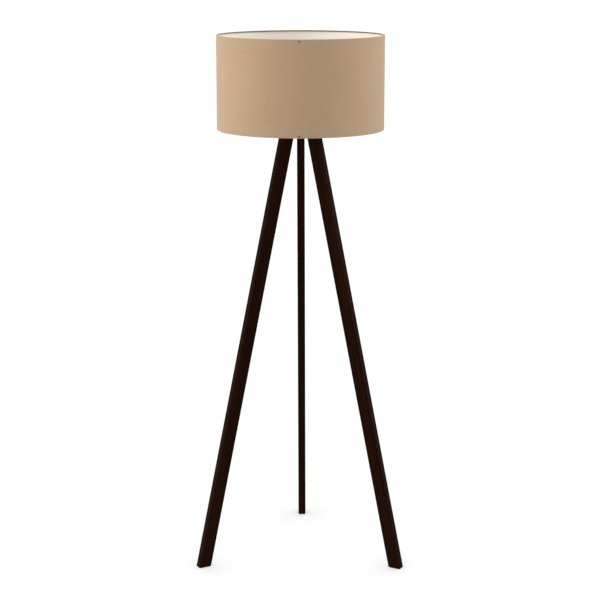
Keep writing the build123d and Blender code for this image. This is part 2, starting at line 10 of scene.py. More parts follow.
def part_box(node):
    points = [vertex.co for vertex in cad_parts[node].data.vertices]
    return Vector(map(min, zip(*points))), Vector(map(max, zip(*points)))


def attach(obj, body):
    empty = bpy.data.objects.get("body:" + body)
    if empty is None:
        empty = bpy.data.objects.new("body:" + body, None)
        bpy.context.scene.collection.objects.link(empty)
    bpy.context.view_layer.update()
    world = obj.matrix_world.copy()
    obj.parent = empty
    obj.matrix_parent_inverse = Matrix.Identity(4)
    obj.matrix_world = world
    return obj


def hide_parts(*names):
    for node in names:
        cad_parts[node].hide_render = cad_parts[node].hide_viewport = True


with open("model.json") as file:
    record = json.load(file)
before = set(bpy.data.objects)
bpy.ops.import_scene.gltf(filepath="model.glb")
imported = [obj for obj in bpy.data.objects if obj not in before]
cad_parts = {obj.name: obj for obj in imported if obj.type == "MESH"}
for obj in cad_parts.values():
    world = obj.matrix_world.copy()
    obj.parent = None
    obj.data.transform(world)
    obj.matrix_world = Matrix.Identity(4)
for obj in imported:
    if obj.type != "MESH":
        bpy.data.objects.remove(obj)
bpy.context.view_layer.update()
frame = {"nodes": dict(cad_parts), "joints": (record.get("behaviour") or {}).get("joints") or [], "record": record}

# ---- Places and sizes, read from the frame -------------------------------------------------------
MM = 0.001
UP = Vector((0.0, 0.0, 1.0))
JOINTS = {joint["name"]: joint for joint in frame["joints"]}
LEGS = {"left": radians(210.0), "right": radians(330.0), "rear": radians(90.0)}  # azimuths
LEG_TILT = radians(12.6)  # from the vertical
FRONT = radians(270.0)  # where the shade's seam faces
TIP_R = 0.05 * MM  # a turned piece's outline ends this near to its line


def size_of(node):
    """A CAD node's lowest corner, highest corner and middle."""
    low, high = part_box(node)
    return low, high, (low + high) / 2


COVER_LOW, COVER_HIGH, _ = size_of("shade_cover")
_, LINER_HIGH, LINER_MIDDLE = size_of("shade_liner")
RING_LOW, RING_HIGH, _ = size_of("bottom_ring")
AXIS = Vector((0.0, LINER_MIDDLE.y, 0.0))
SHADE_BOTTOM = COVER_LOW.z
SHADE_TOP = COVER_HIGH.z
SHADE_R = COVER_HIGH.x
LINER_R = LINER_HIGH.x
WIRE_R = (RING_HIGH.z - RING_LOW.z) / 2
RING_R = RING_HIGH.x - WIRE_R
RING_INSET = RING_LOW.z + WIRE_R - SHADE_BOTTOM  # of a wire's middle from the shade's edge
LINING_GAUGE = 0.6 * MM
CLOTH = 0.45 * MM  # the cover's gauge
LAYER_GAP = 0.05 * MM  # between the cover and its lining
ROLL_R = 2.65 * MM  # outer radius of the cover's edge, turned over the wire
LINING_TUCK = 0.3 * MM  # how far the lining runs past where the cover starts to turn
SEAM_LAP = 24.0 * MM
SHEET_STEPS = 540  # of a rolled sheet, once round


# ---- Material tools ------------------------------------------------------------------------------
SHEET_MAP = "flat_metres"


class Paint:
    """A material with a Principled shader, and short calls to build its nodes."""

    def __init__(self, name, colour, roughness, **constants):
        self.material = bpy.data.materials.new(name)
        self.material.use_nodes = True
        self.tree = self.material.node_tree
        self.shader = self.tree.nodes["Principled BSDF"]
        self.set(self.shader, {"Base Color": (*colour, 1.0), "Roughness": roughness})
        self.set(self.shader, {key.replace("_", " "): value for key, value in constants.items()})

    def set(self, node, values):
        """Gives a node's inputs their values, or links them where the value is another's output."""
        for key, value in values.items():
            if isinstance(value, bpy.types.NodeSocket):
                self.tree.links.new(value, node.inputs[key])
            else:
                node.inputs[key].default_value = value
        return node

    def add(self, kind, inputs=None, **settings):
        """A new shader node of a kind, with its inputs and its settings."""
        node = self.tree.nodes.new("ShaderNode" + kind)
        for key, value in settings.items():
            setattr(node, key, value)
        return self.set(node, inputs or {})

    def here(self):
        """The place on the piece, in the row frame."""
        return self.add("TexCoord").outputs["Object"]

    def sheet(self):
        """The place on a flat sheet, in metres along its UV map."""
        return self.add("UVMap", uv_map=SHEET_MAP).outputs["UV"]

    def stretched(self, place, scale, rotation=(0.0, 0.0, 0.0)):
        values = {"Vector": place, "Scale": scale, "Rotation": rotation}
        return self.add("Mapping", values).outputs["Vector"]

    def noise(self, place, scale, detail, roughness=0.55, distortion=0.0):
        values = {"Vector": place, "Scale": scale, "Detail": detail, "Roughness": roughness,
                  "Distortion": distortion}
        return self.add("TexNoise", values).outputs["Fac"]

    def maths(self, operation, first, second=0.0, third=0.0):
        return self.add("Math", {0: first, 1: second, 2: third}, operation=operation).outputs[0]

    def between(self, value, low, high, to_low=0.0, to_high=1.0):
        """Value mapped from one range to another, held at its ends."""
        values = {"Value": value, "From Min": low, "From Max": high, "To Min": to_low,
                  "To Max": to_high}
        return self.add("MapRange", values).outputs["Result"]

    def blend(self, share, first, second):
        """Two colours mixed by share."""
        node = self.add("Mix", data_type="RGBA", clamp_factor=True)
        sockets = {socket.identifier: socket for socket in node.inputs}
        for key, value in (("Factor_Float", share), ("A_Color", first), ("B_Color", second)):
            if isinstance(value, bpy.types.NodeSocket):
                self.tree.links.new(value, sockets[key])
            elif isinstance(value, tuple):
                sockets[key].default_value = (*value, 1.0)
            else:
                sockets[key].default_value = value
        return next(socket for socket in node.outputs if socket.identifier == "Result_Color")

    def colour(self, value):
        self.tree.links.new(value, self.shader.inputs["Base Color"])

    def rough(self, value):
        self.tree.links.new(value, self.shader.inputs["Roughness"])

    def bump(self, height, depth):
        """Relief of a given depth in metres."""
        node = self.add("Bump", {"Height": height, "Distance": depth, "Strength": 1.0})
        self.tree.links.new(node.outputs["Normal"], self.shader.inputs["Normal"])


# ---- Materials -----------------------------------------------------------------------------------
def wenge(name, azimuth):
    """Dark stained wood with a dull varnish. Its grain runs along a leg with this azimuth."""
    paint = Paint(name, (0.009, 0.003, 0.002), 0.5, Specular_IOR_Level=0.02,
                  Specular_Tint=(1.0, 0.45, 0.28, 1.0))
    turn = Matrix.Rotation(LEG_TILT, 3, "Y") @ Matrix.Rotation(-azimuth, 3, "Z")
    board = paint.stretched(paint.here(), (1.0, 1.0, 1.0), turn.to_euler())

    def grain(across, along, *noise):
        """Noise drawn out along the board, from its scales per metre."""
        return paint.noise(paint.stretched(board, (across, across, along)), 1.0, *noise)

    figure = grain(95.0, 2.2, 4.0, 0.55, 0.6)
    streak = grain(520.0, 9.0, 4.0, 0.6)
    pores = grain(1500.0, 38.0, 2.0, 0.5)
    bands = paint.between(figure, 0.38, 0.62)
    lines = paint.between(streak, 0.35, 0.65)
    tone = paint.maths("MULTIPLY_ADD", bands, 0.6, paint.maths("MULTIPLY", lines, 0.4))
    dark, light = (0.0070, 0.0020, 0.0010), (0.0155, 0.0050, 0.0025)
    filler = (0.0028, 0.0010, 0.0006)
    wood = paint.blend(tone, dark, light)
    open_pore = paint.between(pores, 0.60, 0.72)
    filled = paint.maths("MULTIPLY", open_pore, 0.65)
    paint.colour(paint.blend(filled, wood, filler))
    paint.rough(paint.between(pores, 0.35, 0.7, 0.56, 0.72))
    relief = paint.maths("MULTIPLY_ADD", open_pore, -1.0, paint.maths("MULTIPLY", streak, 0.5))
    paint.bump(relief, 0.12 * MM)
    return paint.material


def weave(name, dark, light, pitch):
    """A plain weave with uneven yarns and painted shade in the gaps between them, in a sheet's own flat metres."""
    paint = Paint(name, light, 0.9, Specular_IOR_Level=0.25, Sheen_Weight=0.12,
                  Sheen_Roughness=0.5)
    flat = paint.sheet()
    place = paint.add("SeparateXYZ", {"Vector": flat})
    warp = paint.maths("SINE", paint.maths("MULTIPLY", place.outputs["X"], pi / pitch))
    weft = paint.maths("SINE", paint.maths("MULTIPLY", place.outputs["Y"], pi / pitch))
    over = paint.maths("GREATER_THAN", paint.maths("MULTIPLY", warp, weft), 0.0)
    warp_yarn = paint.maths("ABSOLUTE", warp)
    weft_yarn = paint.maths("ABSOLUTE", weft)
    on_top = paint.add("Mix", {0: over, 2: weft_yarn, 3: warp_yarn}).outputs[0]
    weft_slub = paint.noise(paint.stretched(flat, (28.0, 900.0, 1.0)), 1.0, 3.0, 0.6)
    warp_slub = paint.noise(paint.stretched(flat, (900.0, 28.0, 1.0)), 1.0, 3.0, 0.6)
    yarn = paint.maths("MULTIPLY_ADD", weft_slub, 0.62, paint.maths("MULTIPLY", warp_slub, 0.38))
    cloud = paint.noise(flat, 9.0, 2.0, 0.5)
    streaks = paint.between(yarn, 0.36, 0.64, 0.0, 0.65)
    cloth = paint.blend(paint.maths("MULTIPLY_ADD", cloud, 0.35, streaks), dark, light)
    # The gaps between the yarns are darkened towards a darker tone of the cloth: painted shade in the weave's
    # gaps.
    gap = paint.between(on_top, 0.05, 0.6)
    gap_shade_tone, gap_shade_share = 0.55, 0.55
    shaded = paint.blend(gap, tuple(c * gap_shade_tone for c in dark), cloth)
    paint.colour(paint.blend(gap_shade_share, cloth, shaded))
    paint.rough(paint.between(yarn, 0.35, 0.65, 0.82, 0.95))
    paint.bump(paint.maths("MULTIPLY_ADD", yarn, 0.9, on_top), 0.16 * MM)
    return paint.material


def lining(name, dark, light):
    """The smooth laminate inside the shade, with a faint orange peel."""
    paint = Paint(name, light, 0.5, Specular_IOR_Level=0.35)
    cloud = paint.noise(paint.here(), 6.0, 2.0)
    paint.colour(paint.blend(paint.between(cloud, 0.3, 0.7), dark, light))
    peel = paint.noise(paint.here(), 900.0, 2.0)
    paint.rough(paint.between(peel, 0.3, 0.7, 0.44, 0.56))
    paint.bump(peel, 0.03 * MM)
    return paint.material


def metal(name, colour, roughness, metallic=1.0):
    """A plain metal with a cloudy tarnish and a fine grain."""
    paint = Paint(name, colour, roughness, Metallic=metallic)
    cloud = paint.noise(paint.here(), 120.0, 4.0, 0.6)
    fine = paint.noise(paint.here(), 1400.0, 2.0)
    tarnish = 0.35
    darker = tuple(c * (1.0 - tarnish) for c in colour)
    paint.colour(paint.blend(paint.between(cloud, 0.35, 0.7), colour, darker))
    both = paint.maths("MULTIPLY_ADD", fine, 0.5, paint.maths("MULTIPLY", cloud, 0.5))
    paint.rough(paint.between(both, 0.3, 0.7, roughness * 0.8, min(1.0, roughness * 1.35)))
    paint.bump(fine, 0.02 * MM)
    return paint.material


def coated(name, colour, roughness, grain=1800.0, depth=0.04, clouds=0.25, **constants):
    """Powder coat or moulded plastic: clouds that are lighter by a share of the colour, and a fine
    pebbled skin, its depth in mm."""
    paint = Paint(name, colour, roughness, **constants)
    pebble = paint.noise(paint.here(), grain, 2.0, 0.6)
    cloud = paint.noise(paint.here(), 45.0, 3.0)
    lighter = tuple(c * (1.0 + clouds) + 0.002 for c in colour)
    paint.colour(paint.blend(paint.between(cloud, 0.3, 0.7), colour, lighter))
    paint.rough(paint.between(pebble, 0.3, 0.7, roughness * 0.85, min(1.0, roughness * 1.2)))
    paint.bump(pebble, depth * MM)
    return paint.material


def felt(name):
    """Pressed dark wool."""
    paint = Paint(name, (0.02, 0.018, 0.017), 0.97, Specular_IOR_Level=0.1, Sheen_Weight=0.3)
    fibre = paint.noise(paint.here(), 1600.0, 4.0, 0.75, 1.5)
    tone = paint.between(fibre, 0.35, 0.65)
    dark, light = (0.010, 0.009, 0.008), (0.036, 0.032, 0.029)
    paint.colour(paint.blend(tone, dark, light))
    paint.bump(fibre, 0.3 * MM)
    return paint.material


MATERIALS = {
    "shade_fabric": weave("shade_fabric", (0.319, 0.210, 0.120), (0.437, 0.305, 0.189), 0.62 * MM),
    "shade_lining": lining("shade_lining", (0.680, 0.638, 0.558), (0.720, 0.683, 0.603)),
    "wire": coated("wire", (0.020, 0.020, 0.021), 0.42),
    "rivet": metal("rivet", (0.115, 0.066, 0.036), 0.45, metallic=0.7),
    "hub_steel": coated("hub_steel", (0.016, 0.016, 0.017), 0.5),
    "zinc_steel": metal("zinc_steel", (0.56, 0.57, 0.58), 0.34),
    "nylon": coated("nylon", (0.72, 0.70, 0.64), 0.5, clouds=0.04),
    "holder_plastic": coated("holder_plastic", (0.012, 0.012, 0.013), 0.38, depth=0.02),
    "porcelain": coated("porcelain", (0.80, 0.79, 0.74), 0.22, 400.0, 0.02, 0.03),
    "brass": metal("brass", (0.72, 0.50, 0.20), 0.3),
    "bulb_plastic": coated("bulb_plastic", (0.78, 0.78, 0.77), 0.35, depth=0.01, clouds=0.02),
    "opal": coated("opal", (0.84, 0.84, 0.82), 0.28, depth=0.01, clouds=0.02,
                   Subsurface_Weight=0.25, Subsurface_Scale=0.006,
                   Subsurface_Radius=(1.0, 1.0, 1.0)),
    "bulb_metal": metal("bulb_metal", (0.66, 0.66, 0.64), 0.28),
    "bulb_black": coated("bulb_black", (0.010, 0.010, 0.012), 0.2, depth=0.01),
    "solder": metal("solder", (0.42, 0.42, 0.43), 0.42),
    "circuit_board": coated("circuit_board", (0.66, 0.67, 0.62), 0.4, 700.0, 0.01, 0.05),
    "felt": felt("felt"),
}
LEG_WOOD = {side: wenge(f"wenge_{side}", azimuth) for side, azimuth in LEGS.items()}


# ---- Mesh tools ----------------------------------------------------------------------------------
class Shell:
    """Vertices and faces, gathered from closed parts and then made into one piece."""

    def __init__(self):
        self.vertices, self.faces, self.uvs = [], [], []

    def rings(self, rows, closed_rows=False, uv_rows=None):
        """Joins rows of points, each row a closed ring. The first and last ring are capped, or
        joined to each other where closed_rows is true."""
        first, count = len(self.vertices), len(rows[0])
        for i, row in enumerate(rows):
            self.vertices += row
            if uv_rows:
                self.uvs += uv_rows[i]
        pairs = len(rows) if closed_rows else len(rows) - 1
        for i in range(pairs):
            here, there = first + i * count, first + (i + 1) % len(rows) * count
            for k in range(count):
                n = (k + 1) % count
                self.faces.append((here + k, here + n, there + n, there + k))
        if not closed_rows:
            last = first + (len(rows) - 1) * count
            self.faces.append(tuple(first + k for k in reversed(range(count))))
            self.faces.append(tuple(last + k for k in range(count)))

    def piece(self, name, slot, body, replaced=(), sharp=40.0):
        """One mesh object with its material, riding on a body, in place of the CAD nodes named."""
        mesh = bpy.data.meshes.new(name)
        mesh.from_pydata([tuple(v) for v in self.vertices], [], self.faces)
        if self.uvs:
            layer = mesh.uv_layers.new(name=SHEET_MAP)
            for loop in mesh.loops:
                layer.data[loop.index].uv = self.uvs[loop.vertex_index]
        mesh.validate()
        mesh.materials.append(MATERIALS[slot])
        mesh.shade_smooth()
        mesh.set_sharp_from_angle(angle=radians(sharp))
        thing = bpy.data.objects.new(name, mesh)
        bpy.context.scene.collection.objects.link(thing)
        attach(thing, body)
        if replaced:
            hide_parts(*replaced)
        return thing


class Line:
    """A straight line in the row frame, with a point turned round it and a distance along it."""

    def __init__(self, origin, along, start=None):
        self.origin = Vector(origin)
        self.along = Vector(along).normalized()
        start = Vector(start) if start else self.along.orthogonal()
        self.across = (start - self.along * start.dot(self.along)).normalized()
        self.third = self.along.cross(self.across)

    def at(self, turn, radius, distance):
        out = self.across * cos(turn) + self.third * sin(turn)
        return self.origin + out * radius + self.along * distance


LAMP = Line(AXIS, UP, (1, 0, 0))


def tooth(share):
    """A cut thread's profile, flattened at its root, 0, and at its crest, 1."""
    slope = 1.0 - abs(2.0 * (share - floor(share)) - 1.0)
    return min(1.0, max(0.0, slope * 1.5 - 0.25))


def wave(share):
    """A rolled thread's profile, rounded throughout."""
    return 0.5 - 0.5 * cos(tau * share)


def turned(shell, line, outline, sides, pitch=0.0, depth=0.0, form=tooth, hollow=False):
    """A solid of revolution from its (radius, distance, thread) outline. Thread is 0 where it is
    plain. Where a radius is a function, it gives the radius for each angle."""
    rows = []
    for radius, distance, thread in outline:
        row = []
        for k in range(sides):
            turn = tau * k / sides
            reach = radius(turn) if callable(radius) else radius
            cut = thread * depth * (1.0 - form(distance / pitch - k / sides)) if thread else 0.0
            row.append(line.at(turn, reach - cut, distance))
        rows.append(row)
    shell.rings(rows, closed_rows=hollow)


def threaded(radius, low, high, pitch, run_out=1.0):
    """Outline points along a thread, which fades in and out over run_out pitches."""
    steps_per_turn = 8
    steps = max(2, round((high - low) / pitch * steps_per_turn))
    points = []
    for k in range(steps + 1):
        distance = low + (high - low) * k / steps
        from_end = min(distance - low, high - distance)
        points.append((radius, distance, min(1.0, max(0.02, from_end / pitch / run_out))))
    return points


def hexagon(flats):
    """The radius of a hexagon for each angle, from its width across flats."""
    return lambda turn: flats / 2 / cos(turn % (pi / 3) - pi / 6)


def plain(points):
    """Outline points without a thread, from (radius, distance) pairs."""
    return [(radius, distance, 0.0) for radius, distance in points]


def rounded(radius, distance, ease, first, last):
    """An eased corner: an arc of radius ease about a point, between two directions in degrees."""
    steps = 5
    points = []
    for k in range(steps + 1):
        a = radians(first + (last - first) * k / steps)
        points.append((radius + ease * cos(a), distance + ease * sin(a), 0.0))
    return points


def tube(shell, points, radii, sides):
    """A round bar along points, with a radius at each."""
    rows = []
    across = None
    for i, point in enumerate(points):
        ahead = (points[min(i + 1, len(points) - 1)] - points[max(i - 1, 0)]).normalized()
        across = ahead.orthogonal() if across is None else across - ahead * across.dot(ahead)
        across.normalize()
        side = ahead.cross(across)
        ring = []
        for k in range(sides):
            a = tau * k / sides
            ring.append(point + (across * cos(a) + side * sin(a)) * radii[i])
        rows.append(ring)
    shell.rings(rows)


# ---- Shade ---------------------------------------------------------------------------------------
def rolled_sheet(name, line, gauge, lap, lift, slot, replaced, feather=0.0):
    """A sheet rolled to a drum. line is its section, as (radius, z). The sheet runs once round
    from the seam, rising by lift just before it laps over its start, and thins over feather at
    its outer end. It returns the piece and the sheet's flat width and length."""
    girth = tau * max(r for r, _ in line)
    runs = [girth * k / SHEET_STEPS for k in range(SHEET_STEPS)]
    extra = max(1, round(lap / MM))
    runs += [girth + lap * k / extra for k in range(extra + 1)]
    lengths = [0.0]
    for (r0, z0), (r1, z1) in zip(line, line[1:]):
        lengths.append(lengths[-1] + hypot(r1 - r0, z1 - z0))
    rows, uv_rows = [], []
    for run in runs:
        share = min(1.0, max(0.0, (run - girth + lap) / lap))
        rise = share * share * (3.0 - 2.0 * share) * lift
        near_end = min(1.0, (girth + lap - run) / feather) if feather else 1.0
        thick = gauge * (0.2 + 0.8 * near_end)
        outer = offset_line(line, -thick + gauge / 2)
        inner = offset_line(line, gauge / 2)
        angle = FRONT + (run - lap / 2) / girth * tau
        rows.append([LAMP.at(angle, r + rise, z) for r, z in inner + outer[::-1]])
        uv_rows.append([(run, v) for v in lengths + lengths[::-1]])
    shell = Shell()
    shell.rings(rows, uv_rows=uv_rows)
    return shell.piece(name, slot, "shade", replaced, sharp=60.0), lengths[-1], girth + lap


def offset_line(line, distance):
    """A line of (radius, z) points moved sideways, to its left as it runs."""
    moved = []
    for i, (r, z) in enumerate(line):
        before, after = line[max(0, i - 1)], line[min(len(line) - 1, i + 1)]
        dr, dz = after[0] - before[0], after[1] - before[1]
        length = hypot(dr, dz)
        moved.append((r - dz / length * distance, z + dr / length * distance))
    return moved


def cover_section():
    """The cover's section: round the lower wire, up the wall and round the upper wire."""
    bend = ROLL_R - CLOTH / 2
    centre = SHADE_R - ROLL_R
    turned_over = radians(142.0)
    steps, rows = 14, 16
    low, high = SHADE_BOTTOM + ROLL_R, SHADE_TOP - ROLL_R
    line = []
    for k in range(steps + 1):
        a = turned_over * (1.0 - k / steps)
        line.append((centre + bend * cos(a), low - bend * sin(a)))
    for k in range(1, rows):
        line.append((centre + bend, low + (high - low) * k / rows))
    for k in range(steps + 1):
        a = turned_over * k / steps
        line.append((centre + bend * cos(a), high + bend * sin(a)))
    return line


def wire_ring(name, z, replaced):
    """A ring of round wire, finely divided."""
    shell = Shell()
    around, sides = 360, 20
    rows = []
    for i in range(around):
        turn = tau * i / around
        ring = []
        for k in range(sides):
            a = tau * k / sides
            ring.append(LAMP.at(turn, RING_R + WIRE_R * cos(a), z + WIRE_R * sin(a)))
        rows.append(ring)
    shell.rings(rows, closed_rows=True)
    return shell.piece(name, "wire", "shade", replaced)


def make_shade():
    """The fabric cover, turned over both wires, and its laminated lining."""
    lap_lift, lap_feather = CLOTH * 0.6, 5.0 * MM
    skin, width, length = rolled_sheet("shade_skin", cover_section(), CLOTH, SEAM_LAP, lap_lift,
                                       "shade_fabric", ["shade_cover"], lap_feather)
    inside = LINER_R - LINING_GAUGE
    outside = SHADE_R - CLOTH - LAYER_GAP
    edge = ROLL_R - LINING_TUCK
    low, high = SHADE_BOTTOM + edge, SHADE_TOP - edge
    rows, lining_lap = 10, 0.1 * MM
    wall = [((inside + outside) / 2, low + (high - low) * k / rows) for k in range(rows + 1)]
    back, _, _ = rolled_sheet("shade_lining", wall, outside - inside, lining_lap, 0.0,
                              "shade_lining", ["shade_liner"])
    wire_ring("top_wire", SHADE_TOP - RING_INSET, ["top_ring"])
    wire_ring("bottom_wire", SHADE_BOTTOM + RING_INSET, ["bottom_ring"])


def make_spider():
    """Three wires from the lower ring to the fitter ring, with a weld bead at each end."""
    _, fitter_high, fitter_middle = size_of("fitter_ring")
    level, fitter_r = fitter_middle.z, fitter_high.x
    wire_z = SHADE_BOTTOM + RING_INSET
    foot_r = RING_R - WIRE_R * 1.2
    bend, bend_steps = 9.0 * MM, 12
    spoke_count, spoke_gap = 3, 0.1 * MM
    foot_bead, fitter_bead = 1.75 * MM, 1.9 * MM
    spokes, beads = Shell(), Shell()
    for k in range(spoke_count):
        turn = FRONT + tau * (k + 0.5) / spoke_count
        path = [(foot_r, wire_z + 1.0 * MM), (foot_r, level - bend)]
        for j in range(1, bend_steps + 1):
            a = pi / 2 * j / bend_steps
            path.append((foot_r - bend + bend * cos(a), level - bend + bend * sin(a)))
        path.append((fitter_r + spoke_gap, level))
        points = [LAMP.at(turn, r, z) for r, z in path]
        tube(spokes, points, [WIRE_R] * len(points), 20)
        foot_start = LAMP.at(turn, foot_r + 0.4 * MM, wire_z + 0.9 * MM)
        foot_end = LAMP.at(turn, foot_r, wire_z + 4.6 * MM)
        weld(beads, foot_start, foot_end, foot_bead)
        fitter_start = LAMP.at(turn, fitter_r - 0.6 * MM, level)
        fitter_end = LAMP.at(turn, fitter_r + 4.2 * MM, level)
        weld(beads, fitter_start, fitter_end, fitter_bead)
    spokes.piece("spokes", "wire", "shade", ["spider_spokes"])
    beads.piece("spoke_welds", "wire", "shade")


def weld(shell, start, end, radius):
    """A short bead with rounded ends and a rippled skin."""
    steps, sides = 20, 18
    ripples, ripple = 5, 0.05
    points, radii = [], []
    for k in range(steps + 1):
        t = k / steps
        swell = sqrt(max(0.02, 1.0 - (2.0 * t - 1.0) ** 2))
        points.append(start.lerp(end, t))
        radii.append(radius * swell * (1.0 + ripple * cos(tau * t * ripples)))
    tube(shell, points, radii, sides)


def make_rivets():
    """The seam's two rivets, each a domed head with a thin rim, and a rolled tail inside."""
    low, high, middle = size_of("seam_rivets")
    head_r = (high.x - low.x) / 2
    face = AXIS.y - low.y  # how far the heads' tops stand from the lamp's axis
    head = 1.1 * MM
    dome = head * 0.8
    shank = 1.2 * MM
    inside = LINER_R - LINING_GAUGE
    tail_end, tail_widest, tail_start = inside - 0.85 * MM, inside - 0.5 * MM, inside - 0.1 * MM
    outline = plain([(TIP_R, tail_end), (head_r * 0.6, tail_end), (head_r * 0.82, tail_widest),
                     (head_r * 0.80, tail_start), (shank, tail_start), (shank, face - head),
                     (head_r, face - head), (head_r, face - dome)])
    steps, sides = 8, 40
    for k in range(1, steps + 1):
        a = pi / 2 * k / steps
        outline.append((max(TIP_R, head_r * cos(a)), face - dome * (1.0 - sin(a)), 0.0))
    shell = Shell()
    for z in (low.z + head_r, high.z - head_r):
        turned(shell, Line((middle.x, AXIS.y, z), (0, -1, 0)), outline, sides)
    shell.piece("rivet_pair", "rivet", "shade", ["seam_rivets"])


# ---- Hub and bulb --------------------------------------------------------------------------------
BOLT_HEAD = 3.6 * MM  # height of a pivot bolt's head


def pivot_line(side):
    """A leg's pivot line, from the middle of the leg towards its wing nut."""
    joint = JOINTS[f"{side}_leg_fold"]
    return Line(joint["pos_m"], joint["axis"], UP)


def along_rear(node):
    """How far a rear fastener starts and ends along its pivot line, and its half height."""
    low, high, _ = size_of(node)
    return -high.x, -low.x, (high.z - low.z) / 2


def make_pivot_bolts():
    """Dome-headed bolts with a hexagon socket, a plain shank and a threaded end."""
    start, end, head_r = along_rear("pivot_bolt_rear")
    nut_start, _, _ = along_rear("wing_nut_rear")
    shank = 3.0 * MM
    seat = start + BOLT_HEAD
    rim, rim_ease = 1.2 * MM, 0.2 * MM
    pitch, thread_depth, point = 1.0 * MM, 0.6 * MM, 0.7 * MM
    thread_start, thread_end = nut_start - 1.5 * MM, end - 0.6 * MM
    socket, mouth = hexagon(4.0 * MM), 2.5 * MM
    socket_edge, socket_end = start + 0.15 * MM, start + 1.9 * MM
    outline = plain([(TIP_R, socket_end), (socket, socket_end), (socket, socket_edge)])
    dome, dome_steps = seat - rim - start, 8
    for k in range(dome_steps + 1):
        a = pi / 2 * k / dome_steps
        radius = mouth + (head_r - mouth) * sin(a)
        outline.append((radius, seat - rim - dome * cos(a), 0.0))
    outline += plain([(head_r, seat - rim_ease), (head_r - rim_ease, seat), (shank, seat)])
    outline += threaded(shank, thread_start, thread_end, pitch)
    outline += plain([(shank - point, end), (TIP_R, end)])
    for side in LEGS:
        shell = Shell()
        turned(shell, pivot_line(side), outline, 48, pitch, thread_depth)
        shell.piece(f"bolt_{side}", "zinc_steel", "hub", [f"pivot_bolt_{side}"], sharp=50.0)


def rounding(t, start, least):
    """A share that is 1 up to start, and then falls along a quarter circle to t = 1."""
    past = max(0.0, t - start) / (1.0 - start)
    return sqrt(max(least, 1.0 - past * past))


def squarish(value):
    """A sine or cosine, made fuller so that a circle becomes a rounded square."""
    return copysign(abs(value) ** 0.7, value)


def wing(shell, line, mirror, base, height, half_span):
    """One wing of a wing nut: a curved ear with a swollen, rounded outline."""
    root, root_height, root_half = 3.3 * MM, 3.4 * MM, 2.9 * MM
    tip_half, root_gauge, tip_gauge = 4.6 * MM, 1.375 * MM, 0.99 * MM
    steps, sides = 14, 20
    rows = []
    for i in range(steps + 1):
        t = i / steps
        reach = root + (half_span - root) * t
        lean = base + root_height + (height - root_height - tip_half) * t ** 1.3
        tall = (root_half + (tip_half - root_half) * t) * rounding(t, start=0.62, least=0.02)
        thick = (root_gauge + (tip_gauge - root_gauge) * t) * rounding(t, start=0.8, least=0.05)
        ring = []
        for k in range(sides):
            a = tau * k / sides
            centre = line.origin + line.along * (lean + squarish(cos(a)) * tall)
            out = squarish(sin(a)) * thick
            ring.append(centre + line.across * (mirror * reach) + line.third * (mirror * out))
        rows.append(ring)
    shell.rings(rows)


def make_wing_nuts():
    """Cast wing nuts: a tapered boss with eased edges and two curved wings."""
    base, top, _ = along_rear("wing_nut_rear")
    low, high, _ = size_of("wing_nut_rear")
    half_span = (high.y - low.y) / 2
    boss_r, boss_top_r, boss = 5.6 * MM, 4.6 * MM, 7.5 * MM
    bore, chamfer, ease = 3.05 * MM, 0.3 * MM, 0.6 * MM
    outline = plain([(bore, base + chamfer), (bore + chamfer, base)])
    outline += rounded(boss_r - ease, base + ease, ease, -90.0, 0.0)
    outline += rounded(boss_top_r - ease, base + boss - ease, ease, 0.0, 90.0)
    outline += plain([(bore + chamfer, base + boss), (bore, base + boss - chamfer)])
    for side in LEGS:
        line = pivot_line(side)
        lying = Line(line.origin, line.along, line.third)
        shell = Shell()
        turned(shell, line, outline, 48, hollow=True)
        for mirror in (1, -1):
            wing(shell, lying, mirror, base, top - base, half_span)
        shell.piece(f"wings_{side}", "zinc_steel", f"{side}_wing_nut", [f"wing_nut_{side}"],
                    sharp=50.0)


def make_nipple():
    """The hollow threaded tube between gland, plate and lampholder."""
    low, high, _ = size_of("threaded_nipple")
    radius, bore = high.x, 3.8 * MM
    pitch, thread_depth, chamfer, plain_end = 1.0 * MM, 0.5 * MM, 0.7 * MM, 0.2 * MM
    outline = threaded(radius, low.z + plain_end, high.z - plain_end, pitch)
    outline += plain([(radius - chamfer, high.z), (bore, high.z), (bore, low.z),
                      (radius - chamfer, low.z)])
    shell = Shell()
    turned(shell, LAMP, outline, 64, pitch, thread_depth, hollow=True)
    shell.piece("nipple_tube", "zinc_steel", "hub", ["threaded_nipple"], sharp=50.0)


def make_bulb_cap():
    """The bulb's cap with its rolled screw thread."""
    low, high, _ = size_of("bulb_cap")
    radius, inner = high.x, high.x - 1.7 * MM
    pitch, thread_depth, run_out = 3.62 * MM, 1.0 * MM, 0.7
    flat_r, foot_r, foot_ease, rim_ease = 11.0 * MM, 11.6 * MM, 0.4 * MM, 0.4 * MM
    thread_start, thread_end = low.z + 1.8 * MM, high.z - 4.0 * MM
    floor_z = low.z + 2.0 * MM
    outline = plain([(TIP_R, low.z), (flat_r, low.z), (foot_r, low.z + foot_ease)])
    outline += threaded(radius, thread_start, thread_end, pitch, run_out)
    outline += rounded(radius - rim_ease, high.z - rim_ease, rim_ease, 0.0, 90.0)
    outline += plain([(inner, high.z), (inner, floor_z), (TIP_R, floor_z)])
    shell = Shell()
    turned(shell, LAMP, outline, 96, pitch, thread_depth, wave)
    shell.piece("bulb_screw_cap", "bulb_metal", "bulb", ["bulb_cap"], sharp=55.0)


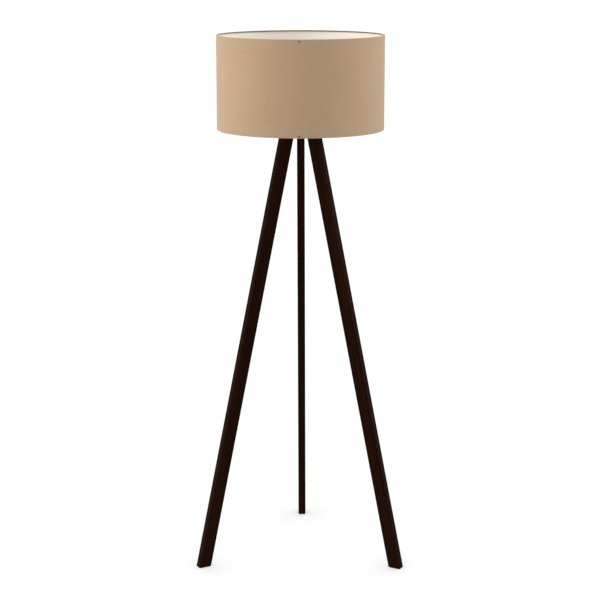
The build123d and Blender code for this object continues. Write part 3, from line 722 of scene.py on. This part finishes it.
def make_hub_welds():
    """A rippled bead along the outside of each of the bracket's ears, under the plate."""
    _, leg_top, _ = size_of("leg_rear")
    plate = leg_top.z + 0.15 * MM  # the plate's underside is just above the legs' level tops
    start, _, _ = along_rear("pivot_bolt_rear")
    ear_face = -start - BOLT_HEAD - 0.1 * MM  # just inside the ears' outer faces
    length, bead, steps, sides = 23.4 * MM, 1.9 * MM, 64, 14
    ripples, ripple = 15, 0.10
    shell = Shell()
    for side, azimuth in LEGS.items():
        line = pivot_line(side)
        out = Vector((cos(azimuth), sin(azimuth), 0.0))
        top = Vector((line.origin.x, line.origin.y, plate))
        for face in (-1, 1):
            middle = top + line.along * (face * ear_face)
            points, radii = [], []
            for k in range(steps + 1):
                t = k / steps
                end_ease = min(1.0, 6.0 * min(t, 1.0 - t) + 0.25)
                points.append(middle + out * (length * (t - 0.5)))
                radii.append(bead * end_ease * (1.0 + ripple * cos(tau * t * ripples)))
            tube(shell, points, radii, sides)
    shell.piece("ear_welds", "hub_steel", "hub")


# ---- CAD nodes -----------------------------------------------------------------------------------
def paint_nodes():
    """Every CAD node gets its slot's material, which a replaced one doesn't show."""
    slots = {part["node"]: part["material_slot"] for part in frame["record"]["subparts"]}
    for name, node in frame["nodes"].items():
        side = name.rsplit("_", 1)[-1]
        wood = slots[name] == "wenge_wood"
        node.data.materials.clear()
        node.data.materials.append(LEG_WOOD[side] if wood else MATERIALS[slots[name]])


# ---- Stage ---------------------------------------------------------------------------------------
def area_light(name, place, target, size, power, unlit):
    """A soft rectangular light, aimed at a target. It isn't seen, and what is in the unlit
    collection gets no light from it."""
    light = bpy.data.lights.new(name, "AREA")
    light.shape = "RECTANGLE"
    light.size, light.size_y = size
    light.energy = power
    lamp = bpy.data.objects.new(name, light)
    bpy.context.scene.collection.objects.link(lamp)
    lamp.visible_camera = False
    lamp.light_linking.receiver_collection = unlit
    lamp.location = place
    aim = Vector(target) - Vector(place)
    lamp.rotation_euler = aim.to_track_quat("-Z", "Y").to_euler()


def make_stage():
    """A pale floor without edges in view, soft light from both sides and from above. The floor's
    underside is clear, so that the lamp shows from below too."""
    half = 90.0
    corners = [(-half, -half, 0), (half, -half, 0), (half, half, 0), (-half, half, 0)]
    mesh = bpy.data.meshes.new("floor")
    mesh.from_pydata(corners, [], [(0, 1, 2, 3)])
    white = (1.0, 1.0, 1.0, 1.0)
    paint = Paint("pale_floor", (0.6, 0.6, 0.6), 0.9, Specular_IOR_Level=0.1,
                  Emission_Color=white, Emission_Strength=0.44)
    cloud = paint.noise(paint.here(), 0.6, 2.0)
    dark, light = (0.598, 0.598, 0.598), (0.606, 0.606, 0.606)
    paint.colour(paint.blend(cloud, dark, light))
    below = paint.add("NewGeometry").outputs["Backfacing"]
    clear = paint.add("BsdfTransparent").outputs["BSDF"]
    surface = paint.add("MixShader", {0: below, 1: paint.shader.outputs["BSDF"], 2: clear})
    paint.set(paint.tree.nodes["Material Output"], {"Surface": surface.outputs[0]})
    mesh.materials.append(paint.material)
    ground = bpy.data.objects.new("floor", mesh)
    bpy.context.scene.collection.objects.link(ground)
    world = bpy.data.worlds.new("studio")
    world.use_nodes = True
    sky = world.node_tree.nodes["Background"]
    sky.inputs["Color"].default_value = white
    sky.inputs["Strength"].default_value = 1.0
    bpy.context.scene.world = world
    unlit = bpy.data.collections.new("lit_by_the_sky_alone")
    unlit.objects.link(ground)
    unlit.collection_objects[0].light_linking.link_state = "EXCLUDE"
    softbox = {"target": (0.0, AXIS.y, 1.2), "size": (1.8, 2.4), "unlit": unlit}
    area_light("left_softbox", (-3.2, AXIS.y - 0.5, 2.5), power=86.0, **softbox)
    area_light("right_softbox", (3.2, AXIS.y + 0.65, 2.5), power=60.0, **softbox)
    area_light("overhead", (0.0, AXIS.y, 3.6), target=(0.0, AXIS.y, 0.0), size=(3.0, 3.0),
               power=32.0, unlit=unlit)


def make_camera():
    """A long lens in front of the lamp, a little above it and looking down."""
    azimuth, pitch = radians(0.87), radians(11.95)
    distance, height, aside = 5.13, 1.883, -0.0016
    data = bpy.data.cameras.new("camera")
    data.sensor_width = 36.0
    data.lens = 103.0
    camera = bpy.data.objects.new("camera", data)
    bpy.context.scene.collection.objects.link(camera)
    turn = Matrix.Rotation(azimuth, 3, "Z")
    camera.location = AXIS + turn @ Vector((aside, -distance, height))
    ahead = turn @ Vector((0.0, cos(pitch), -sin(pitch)))
    camera.rotation_euler = ahead.to_track_quat("-Z", "Y").to_euler()
    bpy.context.scene.camera = camera


def set_colours():
    """Plain display colours, so that white stays white."""
    view = bpy.context.scene.view_settings
    view.view_transform = "Standard"
    view.look = "None"


set_colours()
make_camera()
make_stage()
paint_nodes()
make_shade()
make_spider()
make_rivets()
make_pivot_bolts()
make_wing_nuts()
make_nipple()
make_bulb_cap()
make_hub_welds()
